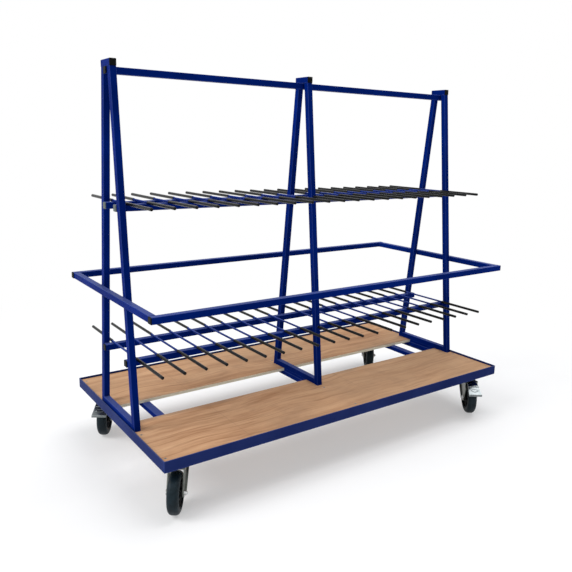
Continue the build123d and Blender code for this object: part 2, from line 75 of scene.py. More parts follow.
# studio: pale floor, white background, soft lamps
studioSet = {
    "white": (1.0, 1.0, 1.0),
    "floorSize": 60.0,
    "floorColour": (0.88, 0.88, 0.885),
    "floorGlow": (0.40, 1.0),     # share of plain white the camera sees: by the trolley, far away
    "floorFade": (1.5, 3.4),      # metres from the trolley
    "worldLight": (0.95, 0.97, 1.0),
    "worldStrength": 0.40,
    "lamps": [
        # name, place, aim, size, watts
        ("keyLamp", (-8.1, 1.35, 7.2), (0.0, 0.1, 0.6), 5.1, 700.0),
        ("topLamp", (2.4, 0.3, 7.8), (0.2, 0.0, 0.0), 6.0, 440.0),
        ("fillLamp", (1.2, -4.6, 2.6), (0.0, 0.0, 0.8), 3.0, 5.0),
    ],
}


def addMath(tree, operation, first, second=0.0):
    node = tree.nodes.new("ShaderNodeMath")
    node.operation = operation
    for socket, value in zip(node.inputs, (first, second)):
        if isinstance(value, bpy.types.NodeSocket):
            tree.links.new(value, socket)
        else:
            socket.default_value = value
    return node.outputs[0]


def seenDirectly(tree):
    # 1 for the camera and for mirror and glass rays, 0 for the light on the trolley
    rays = tree.nodes.new("ShaderNodeLightPath").outputs
    mirrored = addMath(tree, "MAXIMUM", rays["Is Camera Ray"], rays["Is Glossy Ray"])
    return addMath(tree, "MAXIMUM", mirrored, rays["Is Transmission Ray"])


def addWorld():
    world = bpy.data.worlds.new("studio")
    bpy.context.scene.world = world
    world.use_nodes = True
    tree = world.node_tree
    tree.nodes.clear()
    light = tree.nodes.new("ShaderNodeBackground")
    light.inputs["Color"].default_value = (*studioSet["worldLight"], 1.0)
    light.inputs["Strength"].default_value = studioSet["worldStrength"]
    white = tree.nodes.new("ShaderNodeBackground")
    white.inputs["Color"].default_value = (*studioSet["white"], 1.0)
    white.inputs["Strength"].default_value = 1.0
    mix = tree.nodes.new("ShaderNodeMixShader")
    out = tree.nodes.new("ShaderNodeOutputWorld")
    tree.links.new(seenDirectly(tree), mix.inputs[0])
    tree.links.new(light.outputs[0], mix.inputs[1])
    tree.links.new(white.outputs[0], mix.inputs[2])
    tree.links.new(mix.outputs[0], out.inputs["Surface"])


def addFloor():
    bpy.ops.object.select_all(action="DESELECT")
    bpy.ops.mesh.primitive_plane_add(size=studioSet["floorSize"], location=(0.0, 0.0, 0.0))
    floor = bpy.context.object
    floor.name = "studioFloor"
    material = bpy.data.materials.new("floorPale")
    material.use_nodes = True
    tree = material.node_tree
    tree.nodes.clear()
    matt = tree.nodes.new("ShaderNodeBsdfDiffuse")
    matt.inputs["Color"].default_value = (*studioSet["floorColour"], 1.0)
    glow = tree.nodes.new("ShaderNodeEmission")
    glow.inputs["Color"].default_value = (*studioSet["white"], 1.0)
    glow.inputs["Strength"].default_value = 1.0
    coords = tree.nodes.new("ShaderNodeTexCoord")
    reach = tree.nodes.new("ShaderNodeVectorMath")
    reach.operation = "LENGTH"
    tree.links.new(coords.outputs["Object"], reach.inputs[0])
    fade = tree.nodes.new("ShaderNodeMapRange")
    fade.interpolation_type = "SMOOTHSTEP"
    fade.inputs["From Min"].default_value, fade.inputs["From Max"].default_value = studioSet["floorFade"]
    fade.inputs["To Min"].default_value, fade.inputs["To Max"].default_value = studioSet["floorGlow"]
    tree.links.new(reach.outputs["Value"], fade.inputs["Value"])
    share = addMath(tree, "MULTIPLY", seenDirectly(tree), fade.outputs["Result"])
    mix = tree.nodes.new("ShaderNodeMixShader")
    out = tree.nodes.new("ShaderNodeOutputMaterial")
    tree.links.new(share, mix.inputs[0])
    tree.links.new(matt.outputs[0], mix.inputs[1])
    tree.links.new(glow.outputs[0], mix.inputs[2])
    tree.links.new(mix.outputs[0], out.inputs["Surface"])
    floor.data.materials.append(material)


def addLamps():
    for name, place, aim, size, watts in studioSet["lamps"]:
        data = bpy.data.lights.new(name, "AREA")
        data.shape = "SQUARE"
        data.size = size
        data.energy = watts
        lamp = bpy.data.objects.new(name, data)
        lamp.location = place
        lamp.rotation_euler = (Vector(aim) - Vector(place)).to_track_quat("-Z", "Y").to_euler()
        bpy.context.scene.collection.objects.link(lamp)


bpy.context.scene.view_settings.view_transform = "Standard"
addWorld()
addFloor()
addLamps()
print("studio ready")

# materials: patterns read Object coordinates, in metres; wear with painted highlight, and dust with painted
# top-light, read the way a face looks
finishes = {}


def startFinish(name, roughness, metallic=0.0, specular=0.5):
    material = bpy.data.materials.new(name)
    material.use_nodes = True
    tree = material.node_tree
    shader = tree.nodes["Principled BSDF"]
    shader.inputs["Roughness"].default_value = roughness
    shader.inputs["Metallic"].default_value = metallic
    shader.inputs["Specular IOR Level"].default_value = specular
    coords = tree.nodes.new("ShaderNodeTexCoord")
    finishes[name] = material
    return tree, shader, coords.outputs["Object"]


def addNoise(tree, vector, scale, detail=2.0, rough=0.5, stretch=None):
    if stretch:
        mapping = tree.nodes.new("ShaderNodeMapping")
        mapping.inputs["Scale"].default_value = stretch
        tree.links.new(vector, mapping.inputs["Vector"])
        vector = mapping.outputs["Vector"]
    noise = tree.nodes.new("ShaderNodeTexNoise")
    noise.inputs["Scale"].default_value = scale
    noise.inputs["Detail"].default_value = detail
    noise.inputs["Roughness"].default_value = rough
    tree.links.new(vector, noise.inputs["Vector"])
    return noise.outputs["Fac"]


def addRamp(tree, fac, stops):
    ramp = tree.nodes.new("ShaderNodeValToRGB")
    while len(ramp.color_ramp.elements) < len(stops):
        ramp.color_ramp.elements.new(0.5)
    for element, (place, colour) in zip(ramp.color_ramp.elements, stops):
        element.position = place
        element.color = (*colour, 1.0)
    tree.links.new(fac, ramp.inputs["Fac"])
    return ramp.outputs["Color"]


def addRange(tree, fac, low, high, fromLow=0.0, fromHigh=1.0):
    spread = tree.nodes.new("ShaderNodeMapRange")
    spread.inputs["From Min"].default_value = fromLow
    spread.inputs["From Max"].default_value = fromHigh
    spread.inputs["To Min"].default_value = low
    spread.inputs["To Max"].default_value = high
    tree.links.new(fac, spread.inputs["Value"])
    return spread.outputs["Result"]


def mixColour(tree, fac, first, second):
    mix = tree.nodes.new("ShaderNodeMix")
    mix.data_type = "RGBA"
    for socket, value in ((mix.inputs[0], fac), (mix.inputs[6], first), (mix.inputs[7], second)):
        if isinstance(value, bpy.types.NodeSocket):
            tree.links.new(value, socket)
        else:
            socket.default_value = value if isinstance(value, float) else (*value, 1.0)
    return mix.outputs[2]


def addBump(tree, shader, height, strength, distance):
    bump = tree.nodes.new("ShaderNodeBump")
    bump.inputs["Strength"].default_value = strength
    bump.inputs["Distance"].default_value = distance
    tree.links.new(height, bump.inputs["Height"])
    tree.links.new(bump.outputs["Normal"], shader.inputs["Normal"])


def splitVector(tree, vector):
    split = tree.nodes.new("ShaderNodeSeparateXYZ")
    tree.links.new(vector, split.inputs[0])
    return split.outputs


def splitNormal(tree):
    return splitVector(tree, tree.nodes.new("ShaderNodeNewGeometry").outputs["Normal"])


def roundCorner(tree):
    # near 1 on flat faces of square tube, down to 0.7 on its rounded corners
    sides = [addMath(tree, "ABSOLUTE", part) for part in splitNormal(tree)]
    return addMath(tree, "MAXIMUM", addMath(tree, "MAXIMUM", sides[0], sides[1]), sides[2])


coatSet = {
    "blueCoat": ((0.0005, 0.0110, 0.122), (0.0009, 0.0160, 0.178)),     # deep, bright
    "baseCoat": ((0.012, 0.022, 0.106), (0.020, 0.034, 0.142)),         # a greyer, paler blue for the base angles near the floor
    "cloud": (5.0, 3.0),                # noise scale and detail
    "cloudStops": (0.3, 0.7),
    "edge": (0.085, 0.135, 0.40),       # paint thinned at the corners, and a painted highlight along them
    "edgeNoise": (9.0, 4.0, 0.6),       # scale, detail, roughness
    "wornEdgeAndHighlightShare": (0.25, 0.55, 0.35, 0.65),      # share low and high, noise low and high
    "corner": (0.78, 0.95),             # value of roundCorner where the wear and painted highlight are full, and where they end
    "dustAndPaintedTopLight": (0.35, 0.42, 0.60),
    "dustAndPaintedTopLightShare": (0.0, 0.12, 0.5, 1.0),         # more on the faces that look up: dust, with painted light from above
    "gloss": (0.10, 0.28, 1.0),
    "specular": 0.008,                  # low, so the white studio doesn't grey the blue
    "roughness": (0.28, 0.40),
    "roughNoise": (38.0, 4.0, 0.6),
    "peel": (520.0, 1.0),               # orange peel: bumps per metre, detail
    "peelBump": (0.12, 0.0004),         # strength, height
}


def makeCoat(name):
    deep, bright = coatSet[name]
    tree, shader, place = startFinish(name, sum(coatSet["roughness"]) / 2, specular=coatSet["specular"])
    shader.inputs["Specular Tint"].default_value = (*coatSet["gloss"], 1.0)
    cloud = addNoise(tree, place, *coatSet["cloud"])
    paint = addRamp(tree, cloud, list(zip(coatSet["cloudStops"], (deep, bright))))
    # edge wear with painted highlight: the tubes' rounded corners turn a paler blue
    rubbed = addRange(tree, addNoise(tree, place, *coatSet["edgeNoise"]), *coatSet["wornEdgeAndHighlightShare"])
    corner = addRange(tree, roundCorner(tree), 1.0, 0.0, *coatSet["corner"])
    paint = mixColour(tree, addMath(tree, "MULTIPLY", rubbed, corner), paint, coatSet["edge"])
    # dust with painted top-light: faces that look up turn a paler grey-blue
    dustAndPaintedTopLightMask = addRange(tree, splitNormal(tree)["Z"], *coatSet["dustAndPaintedTopLightShare"])
    tree.links.new(mixColour(tree, dustAndPaintedTopLightMask, paint, coatSet["dustAndPaintedTopLight"]), shader.inputs["Base Color"])
    worn = addNoise(tree, place, *coatSet["roughNoise"])
    tree.links.new(addRange(tree, worn, *coatSet["roughness"]), shader.inputs["Roughness"])
    addBump(tree, shader, addNoise(tree, place, *coatSet["peel"]), *coatSet["peelBump"])


plySet = {
    "pale": (0.615, 0.375, 0.218),
    "tan": (0.545, 0.315, 0.176),
    "brown": (0.34, 0.168, 0.084),
    "stain": (0.30, 0.175, 0.105),
    "dull": (0.43, 0.275, 0.165),
    "grey": (0.24, 0.19, 0.145),
    "edgeLight": (0.93, 0.86, 0.68),
    "edgeDark": (0.62, 0.49, 0.33),
    "roughness": 0.62,
    "specular": 0.05,
    "sway": (2.2, 2.0),                 # noise scale and detail
    "swayReach": (0.0, 0.11, 0.0),      # metres
    "broad": (1.0, 5.0, 0.6, (2.2, 19.0, 1.0)),         # scale, detail, roughness, stretch
    "broadStops": (0.28, 0.48, 0.70),           # brown, tan, pale
    "fine": (1.0, 6.0, 0.7, (9.0, 260.0, 40.0)),
    "vein": (1.0, 4.0, 0.65, (2.6, 62.0, 20.0)),
    "blotch": (1.7, 3.0, 0.5),
    "patch": (4.5, 5.0, 0.62),
    "rubbed": (3.0, 4.0, 0.6),
    "fineShare": (0.0, 0.5, 0.46, 0.76),        # share low and high, noise low and high
    "veinShare": (0.0, 0.85, 0.50, 0.68),
    "blotchShare": (0.0, 0.5, 0.42, 0.66),
    "patchShare": (0.0, 0.55, 0.52, 0.78),
    "rubbedShare": (0.0, 1.0, 0.42, 0.62),
    "seams": (-0.62, 0.17, 0.83),       # veneer joints, metres along the deck
    "seamShare": (0.4, 0.0, 0.0006, 0.0022),    # share on the joint and off it, metres from it
    "gapShare": (0.6, 0.0, 0.106, 0.141),       # share by the open gap and off it, metres from midY
    "faceShare": (0.0, 1.0, 0.4, 0.6),          # sawn edge or face, by how far the surface looks up or down
    "thickness": 0.015,
    "layers": 7.0,
    "layerShare": (0.0, 1.0, 0.0003, 0.0008),   # dark to light, metres into a layer
    "bump": (0.2, 0.0006),              # strength, height
}


def makePly():
    tree, shader, place = startFinish("plywood", plySet["roughness"], specular=plySet["specular"])
    # wavy grain: the place is pushed sideways by a slow noise before the streaks are drawn
    sway = tree.nodes.new("ShaderNodeTexNoise")
    sway.inputs["Scale"].default_value, sway.inputs["Detail"].default_value = plySet["sway"]
    tree.links.new(place, sway.inputs["Vector"])
    bend = tree.nodes.new("ShaderNodeVectorMath")
    bend.operation = "MULTIPLY_ADD"
    bend.inputs[1].default_value = plySet["swayReach"]
    tree.links.new(sway.outputs["Color"], bend.inputs[0])
    tree.links.new(place, bend.inputs[2])
    grain = bend.outputs[0]
    broad = addNoise(tree, grain, *plySet["broad"])
    tones = [plySet[tone] for tone in ("brown", "tan", "pale")]
    face = addRamp(tree, broad, list(zip(plySet["broadStops"], tones)))
    fine = addNoise(tree, grain, *plySet["fine"])
    face = mixColour(tree, addRange(tree, fine, *plySet["fineShare"]), face, plySet["brown"])
    vein = addNoise(tree, grain, *plySet["vein"])
    face = mixColour(tree, addRange(tree, vein, *plySet["veinShare"]), face, plySet["brown"])
    blotch = addNoise(tree, place, *plySet["blotch"])
    face = mixColour(tree, addRange(tree, blotch, *plySet["blotchShare"]), face, plySet["dull"])
    patch = addNoise(tree, place, *plySet["patch"])         # dirt from use
    face = mixColour(tree, addRange(tree, patch, *plySet["patchShare"]), face, plySet["stain"])
    split = splitVector(tree, place)
    for seam in plySet["seams"]:
        away = addMath(tree, "ABSOLUTE", addMath(tree, "SUBTRACT", split["X"], seam))
        face = mixColour(tree, addRange(tree, away, *plySet["seamShare"]), face, plySet["stain"])
    # greyed along the open gap, where hands and profiles rub
    across = addMath(tree, "ABSOLUTE", addMath(tree, "SUBTRACT", split["Y"], midY))
    near = addRange(tree, across, *plySet["gapShare"])
    rubbed = addRange(tree, addNoise(tree, place, *plySet["rubbed"]), *plySet["rubbedShare"])
    face = mixColour(tree, addMath(tree, "MULTIPLY", near, rubbed), face, plySet["grey"])
    # the sawn edges show the layers
    layer = addMath(tree, "PINGPONG", split["Z"], plySet["thickness"] / plySet["layers"])
    band = addRange(tree, layer, *plySet["layerShare"])
    edge = mixColour(tree, band, plySet["edgeDark"], plySet["edgeLight"])
    level = addMath(tree, "ABSOLUTE", splitNormal(tree)["Z"])
    flat = addRange(tree, level, *plySet["faceShare"])
    tree.links.new(mixColour(tree, flat, edge, face), shader.inputs["Base Color"])
    addBump(tree, shader, fine, *plySet["bump"])


plasticSet = {
    "kinds": {
        # dark, light, roughness, grain per metre, specular
        "sleeveBlack": ((0.002, 0.0025, 0.0025), (0.006, 0.007, 0.007), 0.24, 900.0, 0.13),
        "capBlack": ((0.003, 0.0035, 0.0035), (0.007, 0.008, 0.008), 0.4, 700.0, 0.04),
        # the tyre's blue-green tint is a painted reflection of blue on the black rubber
        "tyreBlack": ((0.004, 0.010, 0.014), (0.011, 0.023, 0.031), 0.46, 400.0, 0.15),
        "hubDark": ((0.004, 0.005, 0.006), (0.012, 0.013, 0.015), 0.45, 600.0, 0.2),
        "bushPale": ((0.36, 0.34, 0.28), (0.50, 0.48, 0.42), 0.5, 500.0, 0.4),
    },
    "cloud": (30.0, 4.0, 0.6),          # scale, detail, roughness
    "cloudStops": (0.35, 0.7),
    "roughSpread": (-0.08, 0.1),
    "bump": (0.15, 0.0003),             # strength, height
    # colour of the painted reflection on the upper rack's caps
    "pale": (0.12, 0.14, 0.135),
    "paintedReflectionHeights": {"capBlack": (1.215, 1.265)},        # painted reflection: the caps on the upper rack's rails are paler
}


def makePlastic(name, dark, light, roughness, grain, specular):
    tree, shader, place = startFinish(name, roughness, specular=specular)
    cloud = addNoise(tree, place, *plasticSet["cloud"])
    colour = addRamp(tree, cloud, list(zip(plasticSet["cloudStops"], (dark, light))))
    # painted reflection: caps at the upper rack's height turn paler
    if name in plasticSet["paintedReflectionHeights"]:
        low, high = plasticSet["paintedReflectionHeights"][name]
        height = splitVector(tree, place)["Z"]
        above = addMath(tree, "GREATER_THAN", height, low)
        below = addMath(tree, "LESS_THAN", height, high)
        colour = mixColour(tree, addMath(tree, "MULTIPLY", above, below), colour, plasticSet["pale"])
    tree.links.new(colour, shader.inputs["Base Color"])
    rough = [roughness + part for part in plasticSet["roughSpread"]]
    tree.links.new(addRange(tree, cloud, *rough), shader.inputs["Roughness"])
    addBump(tree, shader, addNoise(tree, place, grain), *plasticSet["bump"])


zincSet = {
    "kinds": {
        # dark, light, roughness
        "zincSteel": ((0.12, 0.135, 0.12), (0.235, 0.25, 0.23), 0.34),
        "zincPedal": ((0.12, 0.135, 0.14), (0.24, 0.26, 0.265), 0.26),
        "zincDull": ((0.17, 0.175, 0.17), (0.30, 0.305, 0.30), 0.40),
        "zincBright": ((0.50, 0.51, 0.52), (0.70, 0.71, 0.71), 0.26),
    },
    "cells": 180.0,                     # spangles per metre
    "cloud": (45.0, 5.0, 0.6),          # scale, detail, roughness
    "cloudStops": (0.3, 0.7),
    "spangleShare": 0.22,
    "roughSpread": (-0.08, 0.12),
    "bump": (0.1, 0.0005),              # strength, height
}


def makeZinc(name, dark, light, roughness):
    tree, shader, place = startFinish(name, roughness, metallic=1.0)
    cells = tree.nodes.new("ShaderNodeTexVoronoi")
    cells.inputs["Scale"].default_value = zincSet["cells"]
    tree.links.new(place, cells.inputs["Vector"])
    cloud = addNoise(tree, place, *zincSet["cloud"])
    colour = addRamp(tree, cloud, list(zip(zincSet["cloudStops"], (dark, light))))
    spangle = tree.nodes.new("ShaderNodeSeparateColor")
    tree.links.new(cells.outputs["Color"], spangle.inputs[0])
    share = addRange(tree, spangle.outputs[0], 0.0, zincSet["spangleShare"])
    tree.links.new(mixColour(tree, share, colour, light), shader.inputs["Base Color"])
    rough = [roughness + part for part in zincSet["roughSpread"]]
    tree.links.new(addRange(tree, cloud, *rough), shader.inputs["Roughness"])
    addBump(tree, shader, cloud, *zincSet["bump"])


makeCoat("blueCoat")
makeCoat("baseCoat")
makePly()
for name, kind in plasticSet["kinds"].items():
    makePlastic(name, *kind)
for name, kind in zincSet["kinds"].items():
    makeZinc(name, *kind)

slotFinish = {
    "blue_coat": "blueCoat",
    "plywood": "plywood",
    "sleeve_plastic": "sleeveBlack",
    "cap_plastic": "capBlack",
    "zinc_steel": "zincSteel",
    "bright_zinc": "zincBright",
    "tyre_rubber": "tyreBlack",
    "hub_plastic": "hubDark",
    "bush_plastic": "bushPale",
}
nodeFinish = {"rear_left_pedal": "zincPedal", "front_right_pedal": "zincPedal", "deck_screws": "zincDull"}
for side in ("front", "rear", "left", "right"):
    nodeFinish["base_" + side + "_angle"] = "baseCoat"
for part in frame["record"]["subparts"]:
    piece = nodes[part["node"]]
    finish = finishes[nodeFinish.get(part["node"], slotFinish[part["material_slot"]])]
    if not piece.material_slots:
        piece.data.materials.append(finish)
    for spot in piece.material_slots:
        spot.material = finish
print("finishes on", len(nodes), "nodes")

# small pieces laid on the CAD nodes; places in metres, y counted from the middle of the base
frameXs = [sum(corner[0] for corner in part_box(side + "_front_leg")) / 2
           for side in ("left", "middle", "right")]
legSet = {
    "tubeHalf": 0.015,
    "half": 0.01508,        # half a leg, measured level
    "foot": 0.195,          # middle of a leg at the deck
    "top": 0.0365,          # and under the top tube
    "topHeight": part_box("left_front_leg")[1][2],
}


def legY(height):
    share = (height - deckTop) / (legSet["topHeight"] - deckTop)
    return legSet["foot"] + (legSet["top"] - legSet["foot"]) * share


def outerSide(x, side):
    # an end frame's side that looks away from the racks
    return x * side > legSet["tubeHalf"]


def clearPicks():
    if bpy.context.mode != "OBJECT":
        bpy.ops.object.mode_set(mode="OBJECT")
    bpy.ops.object.select_all(action="DESELECT")


def pickPiece(piece):
    clearPicks()
    piece.select_set(True)
    bpy.context.view_layer.objects.active = piece


def startEdit(piece, kind="VERT"):
    bpy.context.view_layer.objects.active = piece
    if bpy.context.mode == "OBJECT":
        bpy.ops.object.mode_set(mode="EDIT")
    bpy.ops.mesh.select_mode(type=kind)
    bpy.ops.mesh.select_all(action="DESELECT")
    return bmesh.from_edit_mesh(piece.data)


def pickAll(piece):
    startEdit(piece)
    bpy.ops.mesh.select_all(action="SELECT")


def pickVerts(piece, test):
    mesh = startEdit(piece)
    for vert in mesh.verts:
        vert.select_set(bool(test(vert.co)))
    mesh.select_flush(True)
    bmesh.update_edit_mesh(piece.data)


def pickEdges(piece, test):
    mesh = startEdit(piece, "EDGE")
    for edge in mesh.edges:
        edge.select_set(bool(test(edge.verts[0].co, edge.verts[1].co)))
    bmesh.update_edit_mesh(piece.data)


def scalePicked(x, y, z):
    bpy.ops.transform.resize(value=(x, y, z), center_override=(0.0, 0.0, 0.0))


def addRing(steps, radius, wire, turn=0.0):
    clearPicks()
    bpy.ops.mesh.primitive_torus_add(major_segments=steps[0], minor_segments=steps[1], major_radius=radius,
                                     minor_radius=wire, rotation=(turn, 0.0, 0.0))
    ring = bpy.context.object
    bpy.ops.object.transform_apply(location=False, rotation=True, scale=False)
    return ring


def endShape(piece, name, smooth=60.0):
    pickPiece(piece)
    bpy.ops.object.transform_apply(location=True, rotation=True, scale=True)
    bpy.ops.object.shade_smooth_by_angle(angle=math.radians(smooth))
    piece.name = piece.data.name = name
    return piece


def copyTo(shape, matrix):
    piece = bpy.data.objects.new(shape.name, shape.data.copy())
    bpy.context.scene.collection.objects.link(piece)
    piece.data.transform(matrix)
    return piece


def joinCopies(copies, name, body, finish):
    piece = copies[0]
    pickPiece(piece)
    for other in copies[1:]:
        other.select_set(True)
    if len(copies) > 1:
        bpy.ops.object.join()
    piece.name = piece.data.name = name
    if finish:
        piece.data.materials.clear()
        piece.data.materials.append(finishes[finish])
    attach(piece, body)


def dropShape(shape):
    bpy.data.objects.remove(shape, do_unlink=True)


# weld beads, one rippled bead copied to every joint of the frame
weldSet = {
    "radius": 0.0024,
    "length": 0.030,
    "sides": 8,
    "waves": 8,
    "hollow": 0.80,         # between two waves
    "tip": 0.45,
    "run": 0.012,           # half a bead across a tube's flat
    "topRun": 0.025,        # end of the beads along the top tubes
    "legRun": 0.013,        # half a bead of the hoop against a leg
    "legEdge": 0.0153,      # from a leg's middle to the bead along it
    "inset": 0.003,         # kept clear of a tube's rounded corner
    "lip": 0.002,
    "sunk": 0.0006,
    "proud": 0.0005,
    "fat": {                # beads thinner or thicker than the rest
        "footSide": 0.6,
        "topEnd": 0.8,
        "topRail": 0.9,
        "topSide": 0.75,
        "hoopInside": 1.1,
        "hoopOutside": 0.5,
        "hoopUnder": 0.9,
        "hoopOver": 0.5,
    },
}


def makeBead():
    clearPicks()
    half, waves = weldSet["length"] / 2, weldSet["waves"]
    bpy.ops.mesh.primitive_cylinder_add(vertices=weldSet["sides"], radius=weldSet["radius"],
                                        depth=weldSet["length"], rotation=(0.0, math.pi / 2, 0.0))
    bead = bpy.context.object
    bpy.ops.object.transform_apply(location=False, rotation=True, scale=False)
    pickEdges(bead, lambda a, b: abs(a.x - b.x) > half)
    bpy.ops.mesh.subdivide(number_cuts=2 * waves - 1)
    step = half / waves
    pickVerts(bead, lambda spot: round((spot.x + half) / step) % 2 == 0)
    scalePicked(1.0, weldSet["hollow"], weldSet["hollow"])
    pickVerts(bead, lambda spot: abs(spot.x) > half - step / 2)
    scalePicked(1.0, weldSet["tip"], weldSet["tip"])
    return endShape(bead, "weldBead")


def beadBetween(start, end, fat=1.0):
    start, end = Vector(start), Vector(end)
    along = end - start
    turn = Vector((1.0, 0.0, 0.0)).rotation_difference(along).to_matrix().to_4x4()
    size = Matrix.Diagonal((along.length / weldSet["length"], fat, fat, 1.0))
    return copyTo(weldBead, Matrix.Translation((start + end) / 2) @ turn @ size)


def acrossBead(x, y, z, fat=1.0):
    return beadBetween((x - weldSet["run"], y, z), (x + weldSet["run"], y, z), fat)


def footBeads():
    beads = []
    tubeTop = deckTop + 2 * legSet["tubeHalf"]
    low, high = deckTop + weldSet["inset"], tubeTop - weldSet["inset"]
    for x in frameXs:
        for side in (-1, 1):
            inner = [midY + side * (legY(z) - legSet["half"]) for z in (low, high, tubeTop)]
            beads.append(acrossBead(x, inner[2], tubeTop))
            for out in (-1, 1):
                face = x + out * (legSet["tubeHalf"] - weldSet["sunk"])
                ends = [(face, inner[0], low), (face, inner[1], high)]
                beads.append(beadBetween(*ends, weldSet["fat"]["footSide"]))
    return beads


def topBeads():
    beads = []
    fat = weldSet["fat"]
    z = legSet["topHeight"]
    for x in frameXs:
        for side in (-1, 1):
            inner = midY + side * (legSet["top"] - legSet["half"])
            beads.append(acrossBead(x, inner, z, fat["topEnd"]))
            beads.append(acrossBead(x, midY + side * legSet["tubeHalf"], z, fat["topRail"]))
            for out in (-1, 1):
                face = x + out * (legSet["tubeHalf"] - weldSet["sunk"] / 2)
                ends = [(face, inner + side * weldSet[along], z) for along in ("lip", "topRun")]
                beads.append(beadBetween(*ends, fat["topSide"]))
            if not outerSide(x, side):      # across the rail
                face = x + side * legSet["tubeHalf"]
                ends = [(face, midY + along * weldSet["run"], z) for along in (-1, 1)]
                beads.append(beadBetween(*ends, fat["topRail"]))
    return beads


def rackBeads():
    beads = []
    for rail in ("upper_front_rail", "upper_rear_rail", "lower_front_rail", "lower_rear_rail"):
        low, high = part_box(rail)
        side = -1 if "front" in rail else 1
        outer = max(abs(low[1] - midY), abs(high[1] - midY))
        lip = midY + side * (legY(high[2]) - legSet["half"] - weldSet["proud"])
        foot = midY + side * (outer + legY(low[2]) - legSet["half"]) / 2
        for x in frameXs:
            beads.append(acrossBead(x, lip, high[2]))
            for out in (-1, 1):
                if not outerSide(x, out):       # outside are the rails' caps
                    face = x + out * legSet["tubeHalf"]
                    beads.append(beadBetween((face, lip, high[2] - weldSet["inset"]),
                                             (face, foot, low[2] + weldSet["lip"])))
    return beads


def hoopBeads():
    beads = []
    low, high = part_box("hoop_left_tube")
    bottom, top = low[2], high[2]
    inset, lip, fat = weldSet["inset"], weldSet["lip"], weldSet["fat"]
    run = weldSet["legRun"]
    for end in (-1, 1):
        inX = end * abs(high[0])
        outX = end * abs(low[0])
        for side in (-1, 1):
            y = midY + side * (high[1] - low[1]) / 2
            beads.append(beadBetween((inX, y, bottom + lip), (inX, y, top - lip), fat["hoopInside"]))
            beads.append(beadBetween((outX, y, bottom + inset), (outX, y, top - inset), fat["hoopOutside"]))
            for z, face in ((bottom, "hoopUnder"), (top, "hoopOver")):
                beads.append(beadBetween((inX + end * inset, y, z), (outX - end * inset, y, z), fat[face]))
            for z in (bottom, top):     # against the leg, along the hoop
                leg = midY + side * legY(z)
                beads.append(beadBetween((inX, leg - run, z), (inX, leg + run, z)))
            for edge in (-1, 1):        # and along the leg
                ends = []
                for z in (bottom + lip, top - lip):
                    leg = midY + side * legY(z)
                    ends.append((inX, leg + edge * weldSet["legEdge"], z))
                beads.append(beadBetween(*ends))
    return beads


weldBead = makeBead()
joinCopies(footBeads(), "footWelds", "frame", "blueCoat")
joinCopies(topBeads(), "topWelds", "frame", "blueCoat")
joinCopies(rackBeads(), "rackWelds", "frame", "blueCoat")
joinCopies(hoopBeads(), "hoopWelds", "frame", "blueCoat")
dropShape(weldBead)
print("frame welds laid")

# tack welds of the rods on their rails, and a ring round each stub on the middle legs
rodSet = {
    "first": 0.093,
    "pitch": 0.1,
    "count": 10,
    "radius": 0.005,
    "tack": (0.0026, 0.0075, 0.0026),       # half sizes
    "tackSteps": (8, 5),
    "tackCut": -0.0011,                     # the tack is cut flat below this
    "ringRadius": 0.0056,
    "ringWire": 0.0017,
    "ringSteps": (20, 6),
    "ringWave": (0.95, 0.75, 0.95),
    "sunk": 0.0006,
}


def makeTack():
    clearPicks()
    segments, rings = rodSet["tackSteps"]
    bpy.ops.mesh.primitive_uv_sphere_add(segments=segments, ring_count=rings, radius=1.0)
    tack = bpy.context.object
    pickAll(tack)
    scalePicked(*rodSet["tack"])
    bpy.ops.mesh.bisect(plane_co=(0.0, 0.0, rodSet["tackCut"]), plane_no=(0.0, 0.0, 1.0),
                        use_fill=True, clear_inner=True)
    return endShape(tack, "rodTack")


def makeStubRing():
    ring = addRing(rodSet["ringSteps"], rodSet["ringRadius"], rodSet["ringWire"], math.pi / 2)
    step = 2 * math.pi / rodSet["ringSteps"][0]
    pickVerts(ring, lambda spot: round(math.atan2(spot.z, spot.x) / step) % 2 == 0)
    scalePicked(*rodSet["ringWave"])
    return endShape(ring, "stubRing")


rodTack, stubRing = makeTack(), makeStubRing()
rodXs = [side * (rodSet["first"] + rodSet["pitch"] * i)
         for side in (-1, 1) for i in range(rodSet["count"])]
for rack in ("upper", "lower"):
    tacks = []
    rodZ = (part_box(rack + "_rods")[0][2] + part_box(rack + "_rods")[1][2]) / 2
    for side, rail in ((-1, "_front_rail"), (1, "_rear_rail")):
        low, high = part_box(rack + rail)
        for x in rodXs:
            for out in (-1, 1):
                beside = x + out * (rodSet["radius"] - rodSet["sunk"])
                place = (beside, (low[1] + high[1]) / 2, high[2] + rodSet["sunk"])
                tacks.append(copyTo(rodTack, Matrix.Translation(place)))
        stub = legY(rodZ - rodSet["radius"]) + legSet["half"] + rodSet["sunk"]
        tacks.append(copyTo(stubRing, Matrix.Translation((0.0, midY + side * stub, rodZ))))
    joinCopies(tacks, rack + "RodWelds", "frame", "blueCoat")
dropShape(rodTack)
dropShape(stubRing)
print("rod welds laid")

# deck screws: raised countersunk heads with a cross recess
screwSet = {
    "sides": 28,
    "radius": 0.0052,
    "depth": 0.0016,
    "proud": 0.0008,
    "round": 0.0006,
    "roundSteps": 3,
    "smooth": 35.0,
    "cross": (0.0062, 0.0015, 0.0012),      # length, width and height of the cutter's arms
    "near": 0.00001,                        # a face this near the recess's bottom is in it
    "along": 1.018,
    "across": (0.247, 0.496),
    "turns": (0.7, 1.1, 0.4),               # by place along, row and deck, so no two crosses line up
}


